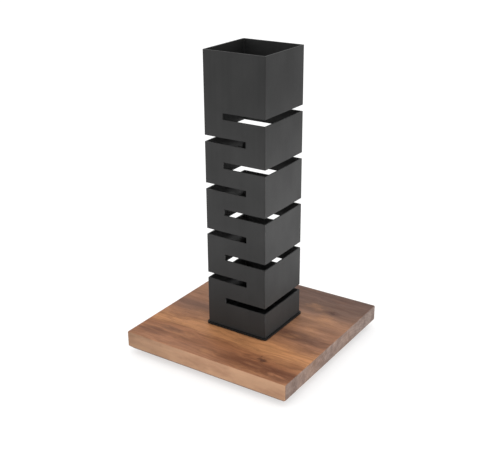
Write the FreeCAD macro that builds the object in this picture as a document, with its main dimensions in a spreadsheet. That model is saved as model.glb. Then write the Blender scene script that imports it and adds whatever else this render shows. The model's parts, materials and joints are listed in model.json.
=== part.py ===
import FreeCAD, Part
import math
import os

import Sketcher

# Spice carousel: a slotted square steel column that turns on a ball thrust bearing let into a
# square walnut board. +Z is up, the origin is on the axis of rotation at the level of the feet.
# The -Y and +X faces of the column are the ones with the open slot ends towards +X.

DIMENSIONS = {
    # walnut board
    "board_side": 220.0,
    "board_thickness": 24.0,
    "board_bevel": 5.0,
    "board_edge_radius": 1.0,
    "pocket_diameter": 46.0,
    "recess_diameter": 32.0,
    "recess_depth": 11.6,
    # rubber feet and their fixings
    "foot_height": 5.0,
    "foot_inset": 28.0,
    "foot_top_diameter": 22.0,
    "foot_base_diameter": 19.0,
    "foot_recess_diameter": 9.5,
    "foot_recess_depth": 3.2,
    "foot_bore_diameter": 3.8,
    "foot_washer_diameter": 8.6,
    "foot_washer_thickness": 0.8,
    "foot_screw_head_diameter": 6.6,
    "foot_screw_head_height": 1.5,
    "foot_screw_diameter": 3.5,
    "foot_screw_length": 15.0,
    "foot_screw_point": 3.0,
    # slotted column and its base plate
    "column_side": 80.0,
    "column_height": 329.2,
    "column_wall": 1.5,
    "column_corner_radius": 0.8,
    "column_inner_radius": 0.6,
    "slot_gap": 7.5,
    "slot_pitch": 56.0,
    "first_slot_height": 33.4,
    "slot_depth": 55.0,
    "plus_slots": 5.0,
    "minus_slots": 4.0,
    "plate_side": 85.0,
    "plate_thickness": 2.0,
    "plate_corner_radius": 4.5,
    "turn_gap": 0.8,
    # pivot
    "stud_diameter": 12.0,
    "stud_seat": 12.9,
    "stud_chamfer": 0.6,
    "thread_diameter": 6.0,
    "thread_depth": 12.0,
    "fit_clearance": 0.08,
    "bush_diameter": 16.0,
    "bush_flange_diameter": 24.0,
    "bush_flange_thickness": 1.5,
    "slide_washer_diameter": 22.0,
    "slide_washer_thickness": 1.0,
    "spring_thickness": 0.8,
    "spring_rise": 0.3,
    "retaining_washer_thickness": 2.0,
    "lock_washer_diameter": 11.0,
    "lock_washer_thickness": 1.6,
    "lock_washer_sweep": 350.0,
    "screw_head_diameter": 10.5,
    "screw_head_height": 3.3,
    "screw_length": 14.0,
    "screw_socket_width": 4.0,
    "screw_socket_depth": 2.0,
    # ball thrust bearing
    "ball_diameter": 5.0,
    "ball_count": 12.0,
    "ball_circle_radius": 17.0,
    "groove_depth": 0.8,
    "race_thickness": 2.2,
    "lower_race_inner_radius": 12.0,
    "race_outer_radius": 22.0,
    "race_seat_clearance": 0.1,
    "cage_thickness": 1.6,
    "cage_half_width": 3.9,
    "cage_play": 0.15,
}

SHEET = "Dimensions"


def dim(name):
    """Reference to one cell of the dimension sheet, for use in an expression."""
    return SHEET + "." + name


# Heights and radii that follow from the driving dimensions, as expressions.
BOARD_BOTTOM = dim("foot_height")
BOARD_TOP = f"({dim('foot_height')} + {dim('board_thickness')})"
RECESS_CEILING = f"({dim('foot_height')} + {dim('recess_depth')})"
PLATE_BOTTOM = f"({BOARD_TOP} + {dim('turn_gap')})"
PLATE_TOP = f"({PLATE_BOTTOM} + {dim('plate_thickness')})"
GROOVE_RADIUS = f"({dim('ball_diameter')} / 2 + {dim('fit_clearance')})"
UPPER_RACE_BOTTOM = f"({PLATE_BOTTOM} - {dim('race_thickness')})"
BALL_HEIGHT = f"({UPPER_RACE_BOTTOM} + {dim('groove_depth')} - {GROOVE_RADIUS})"
LOWER_RACE_TOP = f"({BALL_HEIGHT} - {GROOVE_RADIUS} + {dim('groove_depth')})"
POCKET_FLOOR = f"({LOWER_RACE_TOP} - {dim('race_thickness')})"
STUD_RADIUS = f"({dim('stud_diameter')} / 2)"
THREAD_RADIUS = f"({dim('thread_diameter')} / 2)"
RUNNING_RADIUS = f"({STUD_RADIUS} + {dim('fit_clearance')})"
BUSH_RADIUS = f"({dim('bush_diameter')} / 2)"
WASHER_RADIUS = f"({dim('slide_washer_diameter')} / 2)"
SLIDE_WASHER_TOP = f"({RECESS_CEILING} - {dim('bush_flange_thickness')})"
SLIDE_WASHER_BOTTOM = f"({SLIDE_WASHER_TOP} - {dim('slide_washer_thickness')})"
WASHER_TOP = dim("stud_seat")
WASHER_BOTTOM = f"({WASHER_TOP} - {dim('retaining_washer_thickness')})"
LOCK_WASHER_BOTTOM = f"({WASHER_BOTTOM} - {dim('lock_washer_thickness')})"
SCREW_BOTTOM = f"({LOCK_WASHER_BOTTOM} - {dim('screw_head_height')})"
FOOT_POSITION = f"({dim('board_side')} / 2 - {dim('foot_inset')})"
FOOT_SCREW_RADIUS = f"({dim('foot_screw_diameter')} / 2)"
FOOT_WASHER_BOTTOM = f"({dim('foot_recess_depth')} - {dim('foot_washer_thickness')})"
FOOT_SCREW_TOP = f"({FOOT_WASHER_BOTTOM} + {dim('foot_screw_length')})"
HALF_COLUMN = f"({dim('column_side')} / 2)"
OVERRUN = "10"

doc = FreeCAD.newDocument("SpiceCarousel")


def fill_sheet():
    """Put every driving dimension in the sheet, under its alias."""
    sheet = doc.addObject("Spreadsheet::Sheet", SHEET)
    for row, (alias, value) in enumerate(DIMENSIONS.items(), start=1):
        sheet.set(f"A{row}", alias)
        sheet.set(f"B{row}", str(value))
        sheet.setAlias(f"B{row}", alias)
    doc.recompute()


def new_body(label):
    """A body named after its node."""
    body = doc.addObject("PartDesign::Body", label)
    body.Label = label
    return body


def origin_feature(body, role):
    """One of the body's own origin planes or axes."""
    return next(f for f in body.Origin.OriginFeatures if f.Role == role)


def new_sketch(body, name, plane, offset=("0", "0", "0")):
    """A sketch on one of the body's origin planes, moved by three expressions along its own axes."""
    sketch = body.newObject("Sketcher::SketchObject", body.Label + "_" + name)
    sketch.AttachmentSupport = [(origin_feature(body, plane), "")]
    sketch.MapMode = "FlatFace"
    for axis, expression in zip("xyz", offset):
        if expression != "0":
            sketch.setExpression("AttachmentOffset.Base." + axis, expression)
    return sketch


def pin_point(sketch, geometry, position, x, y):
    """Fix one point of a sketch at two expressions measured from the sketch's origin."""
    for kind, axis, expression in (("DistanceX", -2, x), ("DistanceY", -1, y)):
        if expression == "0":
            sketch.addConstraint(Sketcher.Constraint("PointOnObject", geometry, position, axis))
            continue
        index = sketch.addConstraint(Sketcher.Constraint(kind, -1, 1, geometry, position, 1.0))
        sketch.setExpression(f"Constraints[{index}]", expression)


def value_of(expression):
    """Number that an expression has now, in millimetres."""
    value = doc.getObject(SHEET).evalExpression(expression)
    return float(getattr(value, "Value", value))


def polygon(sketch, corners):
    """A closed outline of straight lines through corners given as expression pairs."""
    points = [FreeCAD.Vector(value_of(x), value_of(y), 0) for x, y in corners]
    count = len(corners)
    first = sketch.GeometryCount
    for i in range(count):
        sketch.addGeometry(Part.LineSegment(points[i], points[(i + 1) % count]), False)
    for i in range(count):
        following = first + (i + 1) % count
        sketch.addConstraint(Sketcher.Constraint("Coincident", first + i, 2, following, 1))
    for i, (x, y) in enumerate(corners):
        pin_point(sketch, first + i, 1, x, y)


def circle(sketch, x, y, radius):
    """A circle at an expression pair with an expression for its radius."""
    centre = FreeCAD.Vector(value_of(x), value_of(y), 0)
    normal = FreeCAD.Vector(0, 0, 1)
    index = sketch.addGeometry(Part.Circle(centre, normal, value_of(radius)), False)
    pin_point(sketch, index, 3, x, y)
    constraint = sketch.addConstraint(Sketcher.Constraint("Radius", index, value_of(radius)))
    sketch.setExpression(f"Constraints[{constraint}]", radius)


def square_corners(half):
    """Corners of a square about the origin, from an expression for half its side."""
    minus = f"-{half}"
    return [(minus, minus), (half, minus), (half, half), (minus, half)]


def pad(body, sketch, length):
    """Raise a sketch by an expression."""
    feature = body.newObject("PartDesign::Pad", sketch.Name + "_pad")
    feature.Profile = sketch
    feature.setExpression("Length", length)
    doc.recompute()
    return feature


def checked_cut(body, feature):
    """Recompute after a cut and make sure that it took something away."""
    before = feature.BaseFeature.Shape.Volume
    doc.recompute()
    removed = before - feature.Shape.Volume
    if removed <= 1e-6:
        raise RuntimeError(f"{feature.Name} in {body.Label} removes nothing")
    return feature


def pocket(body, sketch, length=None, midplane=False, reversed_cut=False):
    """Cut a sketch's outline to a depth, or right through when no depth is given."""
    feature = body.newObject("PartDesign::Pocket", sketch.Name + "_pocket")
    feature.Profile = sketch
    feature.Reversed = reversed_cut
    if midplane:
        feature.Midplane = True
    if length is None:
        feature.Type = "ThroughAll"
    else:
        feature.setExpression("Length", length)
    return checked_cut(body, feature)


def revolve(body, sketch, sweep=None):
    """Turn a sketch about its own vertical axis, all the way round unless a sweep is given."""
    feature = body.newObject("PartDesign::Revolution", sketch.Name + "_revolution")
    feature.Profile = sketch
    feature.ReferenceAxis = (sketch, ["V_Axis"])
    feature.Angle = 360.0
    if sweep is not None:
        feature.setExpression("Angle", sweep)
    doc.recompute()
    return feature


def groove(body, sketch):
    """Turn a sketch about its own vertical axis and take it away."""
    feature = body.newObject("PartDesign::Groove", sketch.Name + "_groove")
    feature.Profile = sketch
    feature.ReferenceAxis = (sketch, ["V_Axis"])
    feature.Angle = 360.0
    return checked_cut(body, feature)


def fillet(body, base, name, radius, chosen):
    """Round the edges of base that the test function accepts."""
    feature = body.newObject("PartDesign::Fillet", body.Label + "_" + name)
    names = [f"Edge{i}" for i, edge in enumerate(base.Shape.Edges, start=1) if chosen(edge)]
    feature.Base = (base, names)
    feature.setExpression("Radius", radius)
    doc.recompute()
    return feature


def chamfer(body, base, name, size, chosen):
    """Bevel the edges of base that the test function accepts."""
    feature = body.newObject("PartDesign::Chamfer", body.Label + "_" + name)
    names = [f"Edge{i}" for i, edge in enumerate(base.Shape.Edges, start=1) if chosen(edge)]
    feature.Base = (base, names)
    feature.setExpression("Size", size)
    doc.recompute()
    return feature


def polar_pattern(body, original, count):
    """Repeat a feature about the body's Z axis."""
    feature = body.newObject("PartDesign::PolarPattern", original.Name + "_ring")
    feature.Originals = [original]
    feature.Axis = (origin_feature(body, "Z_Axis"), [""])
    feature.Angle = 360.0
    feature.setExpression("Occurrences", count)
    body.Tip = feature
    doc.recompute()
    return feature


def is_vertical(edge):
    """A straight edge parallel to Z."""
    start, end = edge.Vertexes[0].Point, edge.Vertexes[-1].Point
    level_shift = math.hypot(end.x - start.x, end.y - start.y)
    return level_shift < 1e-6 and abs(end.z - start.z) > 1e-6


def is_level_at(edge, height):
    """An edge that lies wholly at one height."""
    return all(abs(vertex.Point.z - height) < 1e-6 for vertex in edge.Vertexes)


def turned_part(label, outline, sweep=None):
    """A body turned about Z from a half section given as (radius, height) expressions."""
    body = new_body(label)
    sketch = new_sketch(body, "section", "XZ_Plane")
    polygon(sketch, outline)
    revolve(body, sketch, sweep)
    return body


def flat_ring(label, inner, outer, bottom, top, sweep=None):
    """A washer: a flat ring between two radii and two heights."""
    outline = [(inner, bottom), (outer, bottom), (outer, top), (inner, top)]
    return turned_part(label, outline, sweep)


def make_board():
    """Walnut board, bevelled below: bearing pocket, bore for the bush, and a fixing recess."""
    body = new_body("base_board")
    half = f"({dim('board_side')} / 2)"
    sketch = new_sketch(body, "outline", "XY_Plane", ("0", "0", BOARD_BOTTOM))
    polygon(sketch, square_corners(half))
    block = pad(body, sketch, dim("board_thickness"))
    bottom = value_of(BOARD_BOTTOM)
    block = chamfer(body, block, "bevel", dim("board_bevel"), lambda e: is_level_at(e, bottom))
    fillet(body, block, "edges", dim("board_edge_radius"), lambda e: True)
    bore = new_sketch(body, "bore", "XZ_Plane")
    pocket_radius = f"({dim('pocket_diameter')} / 2)"
    recess_radius = f"({dim('recess_diameter')} / 2)"
    above = f"({BOARD_TOP} + {OVERRUN})"
    polygon(bore, [
        ("0", "0"), (recess_radius, "0"), (recess_radius, RECESS_CEILING),
        (BUSH_RADIUS, RECESS_CEILING), (BUSH_RADIUS, POCKET_FLOOR),
        (pocket_radius, POCKET_FLOOR), (pocket_radius, above), ("0", above),
    ])
    groove(body, bore)


def make_feet():
    """Four tapered rubber feet near the corners, each recessed for its screw."""
    top_radius = f"({dim('foot_top_diameter')} / 2)"
    base_radius = f"({dim('foot_base_diameter')} / 2)"
    recess_radius = f"({dim('foot_recess_diameter')} / 2)"
    bore_radius = f"({dim('foot_bore_diameter')} / 2)"
    outline = [
        (recess_radius, "0"), (base_radius, "0"), (top_radius, dim("foot_height")),
        (bore_radius, dim("foot_height")), (bore_radius, dim("foot_recess_depth")),
        (recess_radius, dim("foot_recess_depth")),
    ]
    corners = {
        "foot_front_left": ("-", "-"),
        "foot_front_right": ("", "-"),
        "foot_back_right": ("", ""),
        "foot_back_left": ("-", ""),
    }
    for label, (x_sign, y_sign) in corners.items():
        body = turned_part(label, outline)
        body.setExpression("Placement.Base.x", x_sign + FOOT_POSITION)
        body.setExpression("Placement.Base.y", y_sign + FOOT_POSITION)


def foot_group(label, outline):
    """One fixing at each foot, turned on the foot's own axis."""
    body = new_body(label)
    body.AllowCompound = True
    sketch = new_sketch(body, "section", "XZ_Plane", (FOOT_POSITION, "0", "-" + FOOT_POSITION))
    polygon(sketch, outline)
    polar_pattern(body, revolve(body, sketch), "4")


def make_foot_fixings():
    """Steel washers inside the feet and the wood screws that hold the feet on."""
    bore_radius = f"({dim('foot_bore_diameter')} / 2)"
    washer_radius = f"({dim('foot_washer_diameter')} / 2)"
    foot_group("foot_washers", [
        (bore_radius, FOOT_WASHER_BOTTOM), (washer_radius, FOOT_WASHER_BOTTOM),
        (washer_radius, dim("foot_recess_depth")), (bore_radius, dim("foot_recess_depth")),
    ])
    head_radius = f"({dim('foot_screw_head_diameter')} / 2)"
    head_bottom = f"({FOOT_WASHER_BOTTOM} - {dim('foot_screw_head_height')})"
    head_crown = f"({head_radius} * 0.7)"
    shoulder = f"({FOOT_WASHER_BOTTOM} - {dim('foot_screw_head_height')} / 2)"
    point_start = f"({FOOT_SCREW_TOP} - {dim('foot_screw_point')})"
    foot_group("foot_screws", [
        ("0", head_bottom), (head_crown, head_bottom), (head_radius, shoulder),
        (head_radius, FOOT_WASHER_BOTTOM), (FOOT_SCREW_RADIUS, FOOT_WASHER_BOTTOM),
        (FOOT_SCREW_RADIUS, point_start), ("0", FOOT_SCREW_TOP),
    ])


def make_column():
    """Square steel tube with slots cut in turn from its +X and its -X side."""
    body = new_body("column_tube")
    sketch = new_sketch(body, "outline", "XY_Plane", ("0", "0", PLATE_TOP))
    polygon(sketch, square_corners(HALF_COLUMN))
    tube = pad(body, sketch, dim("column_height"))
    tube = fillet(body, tube, "corners", dim("column_corner_radius"), is_vertical)
    inner = new_sketch(body, "inside", "XY_Plane", ("0", "0", PLATE_TOP))
    polygon(inner, square_corners(f"({HALF_COLUMN} - {dim('column_wall')})"))
    tube = pocket(body, inner, dim("column_height"), reversed_cut=True)
    limit = value_of(f"({HALF_COLUMN} - {dim('column_wall')} + 0.01)")
    tube = fillet(
        body, tube, "inner_corners", dim("column_inner_radius"),
        lambda e: is_vertical(e) and abs(e.Vertexes[0].Point.x) < limit
        and abs(e.Vertexes[0].Point.y) < limit,
    )
    outside = f"({HALF_COLUMN} + {OVERRUN})"
    reach = f"({dim('slot_depth')} - {HALF_COLUMN})"
    first = f"({BOARD_TOP} + {dim('first_slot_height')})"
    cut_slots(body, "plus", ("-" + reach, outside), first, dim("plus_slots"))
    staggered = f"({first} + {dim('slot_pitch')} / 2)"
    cut_slots(body, "minus", ("-" + outside, reach), staggered, dim("minus_slots"))


def cut_slots(body, name, span, bottom, count):
    """A column of equal slots: one slot through both Y walls and one X wall, then repeated up."""
    top = f"({bottom} + {dim('slot_gap')})"
    sketch = new_sketch(body, name + "_slot", "XZ_Plane")
    polygon(sketch, [(span[0], bottom), (span[1], bottom), (span[1], top), (span[0], top)])
    slot = pocket(body, sketch, None, midplane=True)
    rows = body.newObject("PartDesign::LinearPattern", f"column_{name}_slots")
    rows.Originals = [slot]
    rows.Direction = (origin_feature(body, "Z_Axis"), [""])
    rows.setExpression("Length", f"({dim('slot_pitch')} * ({count} - 1))")
    rows.setExpression("Occurrences", count)
    body.Tip = rows
    doc.recompute()


def make_base_plate():
    """Plate that the column stands on, a little larger than the tube, with round corners."""
    body = new_body("base_plate")
    sketch = new_sketch(body, "outline", "XY_Plane", ("0", "0", PLATE_BOTTOM))
    polygon(sketch, square_corners(f"({dim('plate_side')} / 2)"))
    plate = pad(body, sketch, dim("plate_thickness"))
    plate = fillet(body, plate, "corners", dim("plate_corner_radius"), is_vertical)
    bore = new_sketch(body, "bore", "XY_Plane")
    circle(bore, "0", "0", STUD_RADIUS)
    pocket(body, bore, None, reversed_cut=True)


def make_pivot():
    """Stud welded into the plate, its bush in the board, and what holds it down from below."""
    chamfer = dim("stud_chamfer")
    blind_end = f"({WASHER_TOP} + {dim('thread_depth')})"
    turned_part("pivot_stud", [
        (THREAD_RADIUS, WASHER_TOP), (f"({STUD_RADIUS} - {chamfer})", WASHER_TOP),
        (STUD_RADIUS, f"({WASHER_TOP} + {chamfer})"), (STUD_RADIUS, PLATE_TOP),
        ("0", PLATE_TOP), ("0", blind_end), (THREAD_RADIUS, blind_end),
    ])
    flange_radius = f"({dim('bush_flange_diameter')} / 2)"
    turned_part("board_bush", [
        (RUNNING_RADIUS, SLIDE_WASHER_TOP), (flange_radius, SLIDE_WASHER_TOP),
        (flange_radius, RECESS_CEILING), (BUSH_RADIUS, RECESS_CEILING),
        (BUSH_RADIUS, POCKET_FLOOR), (RUNNING_RADIUS, POCKET_FLOOR),
    ])
    flat_ring("slide_washer", RUNNING_RADIUS, WASHER_RADIUS, SLIDE_WASHER_BOTTOM, SLIDE_WASHER_TOP)
    rise = dim("spring_rise")
    thickness = dim("spring_thickness")
    turned_part("disc_spring", [
        (RUNNING_RADIUS, f"({WASHER_TOP} + {rise})"), (WASHER_RADIUS, WASHER_TOP),
        (WASHER_RADIUS, f"({WASHER_TOP} + {thickness})"),
        (RUNNING_RADIUS, f"({WASHER_TOP} + {rise} + {thickness})"),
    ])
    hole_radius = f"({THREAD_RADIUS} + 2 * {dim('race_seat_clearance')})"
    lock_radius = f"({dim('lock_washer_diameter')} / 2)"
    flat_ring("retaining_washer", hole_radius, WASHER_RADIUS, WASHER_BOTTOM, WASHER_TOP)
    flat_ring("lock_washer", hole_radius, lock_radius, LOCK_WASHER_BOTTOM, WASHER_BOTTOM,
              dim("lock_washer_sweep"))
    make_retaining_screw()


def make_retaining_screw():
    """Low-head screw with a hexagon socket, up into the stud from below."""
    head_radius = f"({dim('screw_head_diameter')} / 2)"
    shank_radius = f"({THREAD_RADIUS} - {dim('fit_clearance')} / 2)"
    edge = dim("stud_chamfer")
    tip = f"({LOCK_WASHER_BOTTOM} + {dim('screw_length')})"
    body = turned_part("retaining_screw", [
        ("0", SCREW_BOTTOM), (f"({head_radius} - {edge})", SCREW_BOTTOM),
        (head_radius, f"({SCREW_BOTTOM} + {edge})"), (head_radius, LOCK_WASHER_BOTTOM),
        (shank_radius, LOCK_WASHER_BOTTOM), (shank_radius, f"({tip} - {edge})"),
        (f"({shank_radius} - {edge})", tip), ("0", tip),
    ])
    socket = new_sketch(body, "socket", "XY_Plane", ("0", "0", SCREW_BOTTOM))
    across_corners = f"({dim('screw_socket_width')} / sqrt(3))"
    corners = []
    for i in range(6):
        turn = f"{60 * i + 30} deg"
        corners.append((f"({across_corners} * cos({turn}))", f"({across_corners} * sin({turn}))"))
    polygon(socket, corners)
    pocket(body, socket, dim("screw_socket_depth"), reversed_cut=True)


def make_bearing():
    """Ball thrust bearing: two grooved races, a cage and its balls."""
    pitch = dim("ball_circle_radius")
    lower_outer = f"({dim('pocket_diameter')} / 2 - {dim('race_seat_clearance')})"
    upper_inner = f"({STUD_RADIUS} + {dim('race_seat_clearance')})"
    races = (
        ("bearing_lower_race", dim("lower_race_inner_radius"), lower_outer, POCKET_FLOOR, LOWER_RACE_TOP),
        ("bearing_upper_race", upper_inner, dim("race_outer_radius"), UPPER_RACE_BOTTOM, PLATE_BOTTOM),
    )
    for label, inner, outer, bottom, top in races:
        body = flat_ring(label, inner, outer, bottom, top)
        track = new_sketch(body, "track", "XZ_Plane")
        circle(track, pitch, BALL_HEIGHT, GROOVE_RADIUS)
        groove(body, track)
    half_width = dim("cage_half_width")
    half_thickness = f"({dim('cage_thickness')} / 2)"
    cage = flat_ring("ball_cage", f"({pitch} - {half_width})", f"({pitch} + {half_width})",
                     f"({BALL_HEIGHT} - {half_thickness})", f"({BALL_HEIGHT} + {half_thickness})")
    hole = new_sketch(cage, "hole", "XY_Plane")
    circle(hole, pitch, "0", f"({dim('ball_diameter')} / 2 + {dim('cage_play')})")
    polar_pattern(cage, pocket(cage, hole, None, reversed_cut=True), dim("ball_count"))
    balls = new_body("bearing_balls")
    balls.AllowCompound = True
    half_disc = new_sketch(balls, "half_disc", "XZ_Plane", (pitch, BALL_HEIGHT, "0"))
    draw_half_disc(half_disc, f"({dim('ball_diameter')} / 2)")
    polar_pattern(balls, revolve(balls, half_disc), dim("ball_count"))


def draw_half_disc(sketch, radius):
    """A half disc to the right of the sketch's vertical axis."""
    size = value_of(radius)
    full = Part.Circle(FreeCAD.Vector(0, 0, 0), FreeCAD.Vector(0, 0, 1), size)
    arc = sketch.addGeometry(Part.ArcOfCircle(full, -math.pi / 2, math.pi / 2), False)
    chord = Part.LineSegment(FreeCAD.Vector(0, size, 0), FreeCAD.Vector(0, -size, 0))
    line = sketch.addGeometry(chord, False)
    sketch.addConstraint(Sketcher.Constraint("Coincident", arc, 2, line, 1))
    sketch.addConstraint(Sketcher.Constraint("Coincident", line, 2, arc, 1))
    sketch.addConstraint(Sketcher.Constraint("Coincident", arc, 3, -1, 1))
    sketch.addConstraint(Sketcher.Constraint("PointOnObject", arc, 1, -2))
    sketch.addConstraint(Sketcher.Constraint("PointOnObject", arc, 2, -2))
    constraint = sketch.addConstraint(Sketcher.Constraint("Radius", arc, size))
    sketch.setExpression(f"Constraints[{constraint}]", radius)


def check_document():
    """Stop on any failed object or faulty body before a file is written."""
    doc.recompute()
    for item in doc.Objects:
        if "Invalid" in item.State or "Error" in item.State:
            raise RuntimeError(f"{item.Name} failed: {item.State}")
    bodies = [item for item in doc.Objects if item.TypeId == "PartDesign::Body"]
    for body in bodies:
        if body.Shape.isNull() or not body.Shape.isValid() or not body.Shape.Solids:
            raise RuntimeError(f"{body.Label} has no valid solid")
    return bodies


def write_steps(bodies):
    """Write each body to its own STEP file, named after its node."""
    os.makedirs("parts", exist_ok=True)
    for body in bodies:
        body.Shape.exportStep(os.path.join("parts", body.Label + ".step"))
        box = body.Shape.BoundBox
        solids = len(body.Shape.Solids)
        print(f"{body.Label:20s} {solids:2d} solid(s) z {box.ZMin:7.2f} to {box.ZMax:7.2f} "
              f"{body.Shape.Volume / 1000:9.3f} cm3")


fill_sheet()
make_board()
make_feet()
make_foot_fixings()
make_column()
make_base_plate()
make_pivot()
make_bearing()
write_steps(check_document())
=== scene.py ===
import json
import math

import bmesh
import bpy
from mathutils import Matrix, Vector


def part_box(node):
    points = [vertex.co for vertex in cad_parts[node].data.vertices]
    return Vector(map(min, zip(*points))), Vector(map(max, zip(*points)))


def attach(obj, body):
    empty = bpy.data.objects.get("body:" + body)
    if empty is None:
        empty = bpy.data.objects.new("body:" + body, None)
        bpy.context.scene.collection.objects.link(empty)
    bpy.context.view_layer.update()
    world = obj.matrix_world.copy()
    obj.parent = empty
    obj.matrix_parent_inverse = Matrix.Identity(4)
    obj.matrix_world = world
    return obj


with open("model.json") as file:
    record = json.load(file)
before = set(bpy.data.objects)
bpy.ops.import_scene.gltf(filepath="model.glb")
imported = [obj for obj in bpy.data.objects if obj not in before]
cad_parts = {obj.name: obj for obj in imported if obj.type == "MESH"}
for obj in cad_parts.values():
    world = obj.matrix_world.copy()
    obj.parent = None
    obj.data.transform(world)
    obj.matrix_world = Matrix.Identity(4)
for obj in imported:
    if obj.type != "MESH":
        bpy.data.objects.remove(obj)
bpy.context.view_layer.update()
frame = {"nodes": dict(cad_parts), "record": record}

# Spice carousel: materials, small details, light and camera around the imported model. Metres.

_, BOARD_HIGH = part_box("base_board")
TUBE_LOW, TUBE_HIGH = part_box("column_tube")
BOARD_HALF = BOARD_HIGH.y
BOARD_TOP = BOARD_HIGH.z

# Camera
CAMERA_AZIMUTH = math.radians(33.29)
CAMERA_ELEVATION = math.radians(22.05)
CAMERA_DISTANCE = 1.007
CAMERA_ROLL = math.radians(-0.30)
CAMERA_LENS = 61.70
AIM_SIDEWAYS = -0.0052
AIM_ABOVE_BOARD = 0.1241

# Powder-coated tube and plate; the plate's darker, duller coat is painted shade at the column's
# foot
TUBE_WALL = 0.0015
TUBE_SHADE = (36, 36, 36)
TUBE_SPECULAR = 0.23
PLATE_PAINTED_SHADE = (20, 20, 20)
PLATE_SHADED_SPECULAR = 0.15
EDGE_SOFTENING = 0.00025
SHARP_EDGE = math.radians(40)
MERGE_DISTANCE = 0.00001

# Weld bead inside the tube: its leg, the length of its ripples, their height as a share of the
# leg, and its mesh steps along each side and across
WELD_LEG = 0.0026
RIPPLE_LENGTH = 0.0032
RIPPLE_HEIGHT = 0.1
WELD_STEPS_ALONG = 176
WELD_STEPS_ACROSS = 6

# Floor: it glows a little, and reflects the rest, so that the contact shadow stays soft
FLOOR_RADIUS = 8.0
FLOOR_GLOW = 0.58
FLOOR_REFLECTION = 0.53

# Lights look at this share of the column's height. Each has a name, azimuth and elevation in
# degrees, distance, size, power in watts and spread in degrees.
AIM_HEIGHT_SHARE = 0.4
LIGHTS = (
    ("top", 10, 80, 2.0, (2.0, 2.0), 7, 180),
    ("key", -30, 20, 2.2, (1.2, 1.2), 5, 180),
    ("fill", 100, 0, 1.1, (0.3, 0.16), 0.3, 21),
    ("front_fill", -25, -2, 1.1, (0.3, 0.16), 0.06, 22),
)


def srgb(red, green, blue):
    """Scene colour of an 8-bit display colour."""
    linear = []
    for value in (red, green, blue):
        share = value / 255
        linear.append(share / 12.92 if share <= 0.04045 else ((share + 0.055) / 1.055) ** 2.4)
    return (*linear, 1.0)


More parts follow.
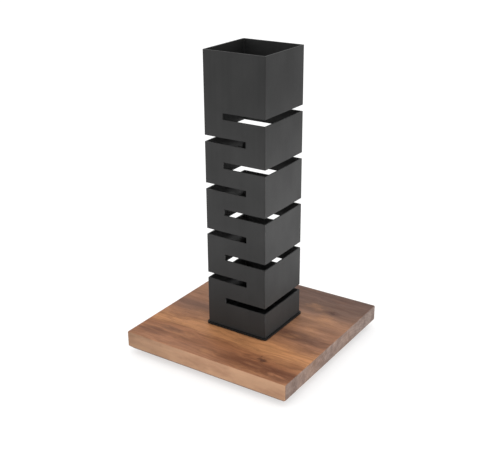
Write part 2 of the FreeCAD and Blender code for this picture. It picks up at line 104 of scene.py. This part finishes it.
class Surface:
    """A node material with short calls for the nodes that the finishes below share."""

    def __init__(self, name):
        self.material = bpy.data.materials.new(name)
        self.material.use_nodes = True
        self.tree = self.material.node_tree
        self.tree.nodes.clear()
        self.shader = self.tree.nodes.new("ShaderNodeBsdfPrincipled")
        output = self.tree.nodes.new("ShaderNodeOutputMaterial")
        self.tree.links.new(self.shader.outputs["BSDF"], output.inputs["Surface"])
        coordinates = self.tree.nodes.new("ShaderNodeTexCoord")
        self.position = coordinates.outputs["Object"]
        self.normal = coordinates.outputs["Normal"]

    def feed(self, socket, value):
        """Link a socket to an output, or set it to a constant."""
        if isinstance(value, bpy.types.NodeSocket):
            self.tree.links.new(value, socket)
        else:
            socket.default_value = value

    def math(self, operation, first, second=0.0):
        """One arithmetic step; the steps on a single number leave the second unused."""
        node = self.tree.nodes.new("ShaderNodeMath")
        node.operation = operation
        for socket, value in zip(node.inputs, (first, second)):
            self.feed(socket, value)
        return node.outputs[0]

    def axes(self, vector):
        """The three components of a vector."""
        node = self.tree.nodes.new("ShaderNodeSeparateXYZ")
        self.feed(node.inputs[0], vector)
        return node.outputs[0], node.outputs[1], node.outputs[2]

    def point(self, x, y, z):
        """The vector with the given components."""
        node = self.tree.nodes.new("ShaderNodeCombineXYZ")
        for socket, value in zip(node.inputs, (x, y, z)):
            self.feed(socket, value)
        return node.outputs[0]

    def noise(self, vector, cells, detail, roughness, distortion=0.0):
        """Noise between 0 and 1, with its number of cells per metre along X, Y and Z."""
        stretch = self.tree.nodes.new("ShaderNodeVectorMath")
        stretch.operation = "MULTIPLY"
        self.feed(stretch.inputs[0], vector)
        stretch.inputs[1].default_value = cells
        node = self.tree.nodes.new("ShaderNodeTexNoise")
        self.tree.links.new(stretch.outputs[0], node.inputs["Vector"])
        node.inputs["Scale"].default_value = 1.0
        node.inputs["Detail"].default_value = detail
        node.inputs["Roughness"].default_value = roughness
        node.inputs["Distortion"].default_value = distortion
        return node.outputs["Fac"]

    def remap(self, value, low, high, new_low=0.0, new_high=1.0):
        """A smooth, clamped step from new_low at low to new_high at high."""
        node = self.tree.nodes.new("ShaderNodeMapRange")
        node.interpolation_type = "SMOOTHSTEP"
        self.feed(node.inputs["Value"], value)
        node.inputs["From Min"].default_value = low
        node.inputs["From Max"].default_value = high
        node.inputs["To Min"].default_value = new_low
        node.inputs["To Max"].default_value = new_high
        return node.outputs["Result"]

    def ramp(self, value, stops):
        """A colour ramp through (place, colour) pairs."""
        node = self.tree.nodes.new("ShaderNodeValToRGB")
        self.feed(node.inputs["Fac"], value)
        elements = node.color_ramp.elements
        while len(elements) < len(stops):
            elements.new(0.5)
        for element, (place, colour) in zip(elements, stops):
            element.position = place
            element.color = colour
        return node.outputs["Color"]

    def mix(self, share, first, second):
        """The first colour at share 0 and the second at share 1."""
        node = self.tree.nodes.new("ShaderNodeMix")
        node.data_type = "RGBA"
        self.feed(node.inputs["Factor"], share)
        self.feed(node.inputs[6], first)
        self.feed(node.inputs[7], second)
        return node.outputs[2]

    def scaled(self, colour, factor):
        """A colour multiplied by a number or a socket."""
        node = self.tree.nodes.new("ShaderNodeVectorMath")
        node.operation = "SCALE"
        self.feed(node.inputs[0], colour[:3] if isinstance(colour, tuple) else colour)
        self.feed(node.inputs["Scale"], factor)
        return node.outputs[0]

    def squares(self, first, second):
        """The sum of two squares."""
        return self.math("ADD", self.math("MULTIPLY", first, first),
                         self.math("MULTIPLY", second, second))

    def length(self, first, second):
        """The length of a flat vector."""
        return self.math("SQRT", self.squares(first, second))

    def spot(self, x, y, centre, size):
        """1 at the middle of an ellipse on the board and 0 at its rim."""
        along = self.math("DIVIDE", self.math("SUBTRACT", x, centre[0]), size[0])
        across = self.math("DIVIDE", self.math("SUBTRACT", y, centre[1]), size[1])
        return self.remap(self.squares(along, across), 1.0, 0.0)

    def finish(self, colour, roughness, height=None, depth=0.0, metallic=0.0, specular=0.5):
        """Join the colour, gloss and relief to the shader."""
        self.feed(self.shader.inputs["Base Color"], colour)
        self.feed(self.shader.inputs["Roughness"], roughness)
        self.shader.inputs["Metallic"].default_value = metallic
        self.shader.inputs["Specular IOR Level"].default_value = specular
        if height is not None:
            bump = self.tree.nodes.new("ShaderNodeBump")
            bump.inputs["Distance"].default_value = depth
            self.feed(bump.inputs["Height"], height)
            self.tree.links.new(bump.outputs["Normal"], self.shader.inputs["Normal"])
        return self.material


# Tones across the board, from its -Y edge to its +Y edge, as (millimetres from the middle, colour).
BOARD_TONES = (
    (-110, (160, 112, 82)),
    (-88, (143, 95, 66)),
    (-70, (150, 99, 66)),
    (-60, (178, 124, 82)),
    (-45, (182, 127, 84)),
    (-34, (157, 109, 76)),
    (-18, (146, 102, 76)),
    (-7, (120, 82, 62)),
    (1, (153, 109, 82)),
    (40, (161, 117, 88)),
    (56, (134, 99, 79)),
    (72, (110, 82, 68)),
    (110, (104, 78, 68)),
)
STAVE_JOINTS = (-0.064, -0.004, 0.056)
JOINT_HALF_WIDTH = 0.0007
JOINT_TONE = (88, 58, 44)
JOINT_STRENGTH = 0.35

# Darker and lighter wood, as 8-bit display colours
DARK_CLOUD = (112, 72, 50)
LIGHT_CLOUD = (190, 136, 92)
PORE_TONE = (70, 44, 32)
PORE_STRENGTH = 0.4
END_GRAIN = ((125, 110, 102), (98, 82, 75))
SIDE_GRAIN = ((181, 143, 113), (162, 124, 97))

# How far the ends and sides take their own tones, and how much painted shade darkens the lower
# bevel and underside
EDGE_GRAIN_STRENGTH = 0.85
BEVEL_PAINTED_SHADE = 0.45

# Growth rings about a line along X, below and beside the board's middle
RINGS_PER_METRE = 260.0
PITH_Y = 0.03
PITH_DEPTH = 0.085

# Torn dark marks, as (centre, half size, strength, tone)
DARK_MARKS = (
    ((0.070, -0.095), (0.080, 0.017), 0.8, (94, 54, 36)),
    ((0.052, -0.080), (0.022, 0.008), 0.7, (84, 48, 32)),
    ((0.066, -0.012), (0.044, 0.013), 0.75, (92, 60, 46)),
    ((0.092, 0.020), (0.03, 0.010), 0.4, (112, 76, 58)),
    ((0.075, 0.062), (0.016, 0.007), 0.6, (70, 44, 38)),
    ((-0.088, -0.090), (0.030, 0.010), 0.7, (98, 62, 46)),
    ((-0.072, -0.076), (0.026, 0.007), 0.6, (100, 66, 50)),
    ((-0.092, -0.014), (0.05, 0.018), 0.45, (112, 84, 72)),
)

# Small knots, as (centre, half size)
KNOTS = (
    ((0.060, -0.078), (0.0075, 0.0048)),
    ((0.075, 0.062), (0.0045, 0.0036)),
)
KNOT_STRENGTH = 0.7
KNOT_TONE = (70, 42, 30)
KNOT_SWAY = 0.02


def walnut():
    """Oiled walnut: three glued joints, grain along X, end grain on the X ends."""
    wood = Surface("walnut_oiled")
    x, y, z = wood.axes(wood.position)
    wander = wood.noise(wood.position, (9.0, 24.0, 24.0), 3.0, 0.5)
    wriggle = wood.noise(wood.position, (34.0, 60.0, 60.0), 2.0, 0.5)
    slow = wood.math("MULTIPLY", wood.math("SUBTRACT", wander, 0.5), 0.03)
    quick = wood.math("MULTIPLY", wood.math("SUBTRACT", wriggle, 0.5), 0.007)
    shift = wood.math("ADD", slow, quick)
    level = wood.math("ADD", y, shift)
    warped = wood.point(x, level, wood.math("ADD", z, shift))
    place = wood.math("ADD", wood.math("DIVIDE", level, 2 * BOARD_HALF), 0.5)
    stops = [((at / 1000 + BOARD_HALF) / (2 * BOARD_HALF), srgb(*tone))
             for at, tone in BOARD_TONES]
    colour = wood.ramp(place, stops)

    cloud = wood.noise(wood.position, (19.0, 44.0, 44.0), 4.0, 0.6)
    colour = wood.mix(wood.remap(cloud, 0.5, 0.72, 0.0, 0.5), colour, srgb(*DARK_CLOUD))
    colour = wood.mix(wood.remap(cloud, 0.48, 0.3, 0.0, 0.35), colour, srgb(*LIGHT_CLOUD))
    streaks = wood.noise(warped, (11.0, 120.0, 120.0), 5.0, 0.6, 0.3)
    colour = wood.scaled(colour, wood.remap(streaks, 0.3, 0.7, 0.83, 1.14))
    rings = growth_rings(wood, level, z)
    colour = wood.scaled(colour, wood.math("SUBTRACT", 1.05, wood.math("MULTIPLY", rings, 0.13)))
    fibres = wood.noise(warped, (26.0, 700.0, 700.0), 4.0, 0.6)
    colour = wood.scaled(colour, wood.remap(fibres, 0.3, 0.72, 0.9, 1.08))

    colour = dark_figure(wood, colour, x, y)
    colour = glue_lines(wood, colour, y)
    pores = wood.noise(wood.position, (110.0, 2300.0, 2300.0), 2.0, 0.5)
    pore_mask = wood.remap(pores, 0.62, 0.74)
    pore_share = wood.math("MULTIPLY", pore_mask, PORE_STRENGTH)
    colour = wood.mix(pore_share, colour, srgb(*PORE_TONE))

    end, side, under = end_side_and_painted_shade_masks(wood)
    mottle = wood.noise(wood.position, (60.0, 60.0, 60.0), 5.0, 0.7)
    light_end, dark_end = (srgb(*tone) for tone in END_GRAIN)
    end_tone = wood.mix(wood.remap(mottle, 0.36, 0.66), light_end, dark_end)
    end_tone = wood.scaled(end_tone, wood.remap(streaks, 0.3, 0.7, 0.86, 1.12))
    ringed = wood.math("SUBTRACT", 1.06, wood.math("MULTIPLY", rings, 0.16))
    end_tone = wood.scaled(end_tone, ringed)
    colour = wood.mix(wood.math("MULTIPLY", end, EDGE_GRAIN_STRENGTH), colour, end_tone)
    light_side, dark_side = (srgb(*tone) for tone in SIDE_GRAIN)
    side_grain_and_shade = wood.mix(wood.remap(cloud, 0.4, 0.66), light_side, dark_side)
    side_grain_and_shade = wood.scaled(side_grain_and_shade, wood.remap(streaks, 0.3, 0.7, 0.94, 1.07))
    # Painted shade: the sides darken towards their -X end, against the key light there
    side_grain_and_shade = wood.scaled(side_grain_and_shade, wood.remap(x, -0.112, 0.03, 0.62, 1.0))
    colour = wood.mix(wood.math("MULTIPLY", side, EDGE_GRAIN_STRENGTH), colour, side_grain_and_shade)
    # Painted shade: the lower bevel and underside are darkened, as faces turned away from the light
    shade = wood.math("MULTIPLY", under, BEVEL_PAINTED_SHADE)
    colour = wood.scaled(colour, wood.math("SUBTRACT", 1.0, shade))

    relief = wood.math("SUBTRACT", wood.math("MULTIPLY", fibres, 0.5), pore_mask)
    gloss = wood.remap(streaks, 0.3, 0.7, 0.62, 0.5)
    return wood.finish(colour, gloss, relief, 0.00012, specular=0.22)


def growth_rings(wood, level, z):
    """Yearly rings about a pith below the board, from 0 in early wood to 1 in late wood."""
    from_pith_y = wood.math("SUBTRACT", level, PITH_Y)
    from_pith_z = wood.math("ADD", z, PITH_DEPTH)
    radius = wood.length(from_pith_y, from_pith_z)
    phase = wood.math("FRACT", wood.math("MULTIPLY", radius, RINGS_PER_METRE))
    return wood.math("MULTIPLY", wood.remap(phase, 0.0, 0.8), wood.remap(phase, 1.0, 0.8))


def dark_figure(wood, colour, x, y):
    """The dark heart streaks and the small knots."""
    ragged = wood.noise(wood.position, (24.0, 130.0, 130.0), 5.0, 0.65, 0.8)
    for centre, size, strength, tone in DARK_MARKS:
        mark = wood.spot(x, y, centre, size)
        torn = wood.math("MULTIPLY", mark, wood.remap(ragged, 0.3, 0.54))
        colour = wood.mix(wood.math("MULTIPLY", torn, strength), colour, srgb(*tone))
    swirl = wood.noise(wood.position, (150.0, 150.0, 150.0), 3.0, 0.6)
    sway = wood.math("MULTIPLY", wood.math("SUBTRACT", swirl, 0.5), KNOT_SWAY)
    bent_x = wood.math("ADD", x, sway)
    bent_y = wood.math("SUBTRACT", y, sway)
    for centre, size in KNOTS:
        knot = wood.spot(bent_x, bent_y, centre, size)
        colour = wood.mix(wood.math("MULTIPLY", knot, KNOT_STRENGTH), colour, srgb(*KNOT_TONE))
    return colour


def glue_lines(wood, colour, y):
    """The thin dark joints between the staves."""
    for joint in STAVE_JOINTS:
        distance = wood.math("ABSOLUTE", wood.math("SUBTRACT", y, joint))
        line = wood.remap(distance, JOINT_HALF_WIDTH, 0.0)
        colour = wood.mix(wood.math("MULTIPLY", line, JOINT_STRENGTH), colour, srgb(*JOINT_TONE))
    return colour


def end_side_and_painted_shade_masks(wood):
    """1 on the X ends, 1 on the Y sides, and 1 on the lower bevel and underside, where shade is
    painted.
    """
    normal_x, normal_y, normal_z = wood.axes(wood.normal)
    end = wood.remap(wood.math("ABSOLUTE", normal_x), 0.45, 0.75)
    side = wood.remap(wood.math("ABSOLUTE", normal_y), 0.45, 0.75)
    under = wood.remap(normal_z, -0.3, -0.6)
    return end, side, under


def powder_coat(name, shade, specular):
    """Matte powder coat with its fine orange peel."""
    coat = Surface(name)
    cloud = coat.noise(coat.position, (22.0, 22.0, 14.0), 4.0, 0.55)
    drawn = coat.noise(coat.position, (260.0, 260.0, 3.0), 3.0, 0.5)
    speck = coat.noise(coat.position, (2600.0, 2600.0, 2600.0), 2.0, 0.6)
    tone = coat.math("MULTIPLY", coat.remap(cloud, 0.3, 0.7, 0.88, 1.12),
                     coat.remap(drawn, 0.3, 0.7, 0.96, 1.04))
    tone = coat.math("MULTIPLY", tone, coat.remap(speck, 0.35, 0.7, 0.86, 1.16))
    colour = coat.scaled(srgb(*shade), tone)
    peel = coat.noise(coat.position, (900.0, 900.0, 900.0), 3.0, 0.5)
    relief = coat.math("ADD", peel, coat.math("MULTIPLY", speck, 0.35))
    gloss = coat.remap(cloud, 0.3, 0.7, 0.58, 0.5)
    return coat.finish(colour, gloss, relief, 0.00007, specular=specular)


def rubber():
    """Black moulded rubber with a faint bloom."""
    surface = Surface("rubber_black")
    bloom = surface.noise(surface.position, (160.0, 160.0, 160.0), 4.0, 0.6)
    grain = surface.noise(surface.position, (1900.0, 1900.0, 1900.0), 2.0, 0.6)
    colour = surface.mix(surface.remap(bloom, 0.4, 0.75), srgb(28, 28, 28), srgb(50, 49, 47))
    return surface.finish(colour, surface.remap(bloom, 0.3, 0.7, 0.72, 0.86), grain, 0.00008)


def turned_metal(name, bright, dull, roughness):
    """Metal with fine turning marks about the upright axis and a little staining."""
    metal = Surface(name)
    x, y, _ = metal.axes(metal.position)
    radius = metal.length(x, y)
    lines = metal.noise(metal.point(radius, 0.0, 0.0), (6000.0, 1.0, 1.0), 2.0, 0.5)
    stain = metal.noise(metal.position, (240.0, 240.0, 240.0), 4.0, 0.6)
    colour = metal.mix(metal.remap(stain, 0.35, 0.7), bright, dull)
    gloss = metal.remap(stain, 0.3, 0.7, roughness, roughness + 0.14)
    return metal.finish(colour, gloss, lines, 0.00003, metallic=1.0)


def nylon():
    """Natural nylon with faint moulding mottle."""
    surface = Surface("nylon_natural")
    mottle = surface.noise(surface.position, (420.0, 420.0, 420.0), 4.0, 0.6)
    colour = surface.mix(mottle, srgb(222, 218, 204), srgb(203, 197, 178))
    return surface.finish(colour, surface.remap(mottle, 0.3, 0.7, 0.4, 0.52), mottle, 0.00004)


def give_materials():
    """Put a finish on every node by the record's slots; the plate's darker coat is painted shade.
    """
    finishes = {
        "walnut": walnut(),
        "powder_coat": powder_coat("powder_coat_anthracite", TUBE_SHADE, TUBE_SPECULAR),
        "rubber": rubber(),
        "zinc_steel": turned_metal("zinc_plate", srgb(196, 198, 200), srgb(158, 160, 158), 0.28),
        "bearing_steel": turned_metal("bearing_steel", srgb(176, 176, 178), srgb(128, 128, 130),
                                      0.2),
        "bronze": turned_metal("sintered_bronze", srgb(188, 142, 86), srgb(134, 98, 58), 0.42),
        "nylon": nylon(),
    }
    for entry in frame["record"]["subparts"]:
        node = frame["nodes"][entry["node"]]
        node.data.materials.clear()
        node.data.materials.append(finishes[entry["material_slot"]])
    # Painted shade: the plate gets a darker, less glossy copy of the tube's coat
    plate = frame["nodes"]["base_plate"]
    plate.data.materials[0] = powder_coat("powder_coat_painted_shade", PLATE_PAINTED_SHADE, PLATE_SHADED_SPECULAR)
    return finishes


def placed(name, shape, finish):
    """A scene object made from a finished bmesh, with one material."""
    data = bpy.data.meshes.new(name)
    shape.to_mesh(data)
    shape.free()
    data.materials.append(finish)
    thing = bpy.data.objects.new(name, data)
    bpy.context.scene.collection.objects.link(thing)
    return thing


def add_weld(finish):
    """Fillet weld where the tube stands on its base plate, on the inside, with its ripples."""
    inner = TUBE_HIGH.x - TUBE_WALL
    mesh = bmesh.new()
    rows = []
    for side in range(4):
        turn = Matrix.Rotation(side * math.pi / 2, 4, "Z")
        for i in range(WELD_STEPS_ALONG):
            along = -inner + 2 * inner * i / WELD_STEPS_ALONG
            leg = WELD_LEG * (1 + RIPPLE_HEIGHT * math.sin(2 * math.pi * along / RIPPLE_LENGTH))
            from_corner = min(inner - abs(along), WELD_LEG) / WELD_LEG
            row = []
            for j in range(WELD_STEPS_ACROSS + 1):
                angle = math.pi / 2 * j / WELD_STEPS_ACROSS
                out = leg * (1 - math.sin(angle))
                up = leg * (1 - math.cos(angle))
                mitre = 1 - out / inner * (1 - from_corner)
                corner = Vector((along * mitre, -inner + out, TUBE_LOW.z + up))
                row.append(mesh.verts.new(turn @ corner))
            rows.append(row)
    for first, second in zip(rows, rows[1:] + rows[:1]):
        for j in range(WELD_STEPS_ACROSS):
            mesh.faces.new((first[j], second[j], second[j + 1], first[j + 1]))
    for face in mesh.faces:
        face.smooth = True
    weld = placed("inner_weld", mesh, finish)
    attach(weld, "column")


def soften_edges():
    """Ease the cut edges of the tube and plate, as the coating does."""
    for name in ("column_tube", "base_plate"):
        node = frame["nodes"][name]
        join = node.modifiers.new("join", "WELD")
        join.merge_threshold = MERGE_DISTANCE
        bevel = node.modifiers.new("ease", "BEVEL")
        bevel.width = EDGE_SOFTENING
        bevel.segments = 2
        bevel.limit_method = "ANGLE"
        bevel.angle_limit = SHARP_EDGE
        bevel.harden_normals = True


def add_floor():
    """Plain pale floor, level with the feet."""
    mesh = bmesh.new()
    bmesh.ops.create_circle(mesh, cap_ends=True, radius=FLOOR_RADIUS, segments=96)
    surface = Surface("studio_floor")
    speck = surface.noise(surface.position, (40.0, 40.0, 40.0), 3.0, 0.5)
    paper = surface.mix(speck, srgb(252, 252, 252), srgb(248, 248, 248))
    surface.feed(surface.shader.inputs["Emission Color"], paper)
    surface.shader.inputs["Emission Strength"].default_value = FLOOR_GLOW
    reflected = surface.scaled(paper, FLOOR_REFLECTION)
    floor = placed("studio_floor", mesh, surface.finish(reflected, 0.9, specular=0.1))


def direction(azimuth, elevation):
    """Unit vector towards a viewer; azimuth 0 is straight in front, on the -Y side."""
    level = math.cos(elevation)
    return Vector((math.sin(azimuth) * level, -math.cos(azimuth) * level, math.sin(elevation)))


def add_area_light(name, azimuth, elevation, distance, size, power, spread):
    """A soft box that looks at the column from the given direction."""
    light = bpy.data.lights.new(name, "AREA")
    light.shape = "RECTANGLE"
    light.size, light.size_y = size
    light.energy = power
    light.spread = math.radians(spread)
    aim = Vector((0, 0, AIM_HEIGHT_SHARE * TUBE_HIGH.z))
    away = direction(math.radians(azimuth), math.radians(elevation))
    lamp = bpy.data.objects.new(name, light)
    lamp.location = aim + away * distance
    lamp.rotation_euler = away.to_track_quat("Z", "Y").to_euler()
    bpy.context.scene.collection.objects.link(lamp)


def add_lights():
    """White surroundings, a soft top light, a key on the left and two low, narrow fills."""
    world = bpy.data.worlds.new("studio")
    world.use_nodes = True
    background = world.node_tree.nodes["Background"]
    background.inputs["Color"].default_value = (1.0, 1.0, 1.0, 1.0)
    background.inputs["Strength"].default_value = 1.0
    bpy.context.scene.world = world
    for light in LIGHTS:
        add_area_light(*light)


def add_camera():
    """Camera above and in front of the corner between the -Y and +X sides."""
    back = direction(CAMERA_AZIMUTH, CAMERA_ELEVATION)
    right = Vector((math.cos(CAMERA_AZIMUTH), math.sin(CAMERA_AZIMUTH), 0))
    up = back.cross(right)
    turned_right = right * math.cos(CAMERA_ROLL) + up * math.sin(CAMERA_ROLL)
    turned_up = up * math.cos(CAMERA_ROLL) - right * math.sin(CAMERA_ROLL)
    aim = right * AIM_SIDEWAYS + Vector((0, 0, BOARD_TOP + AIM_ABOVE_BOARD))
    place = aim + back * CAMERA_DISTANCE
    columns = Matrix((turned_right, turned_up, back)).transposed().to_4x4()
    data = bpy.data.cameras.new("camera")
    data.lens = CAMERA_LENS
    camera = bpy.data.objects.new("camera", data)
    camera.matrix_world = Matrix.Translation(place) @ columns
    bpy.context.scene.collection.objects.link(camera)
    bpy.context.scene.camera = camera


finishes = give_materials()
soften_edges()
add_weld(finishes["powder_coat"])
add_floor()
add_lights()
add_camera()
bpy.context.scene.view_settings.view_transform = "Standard"
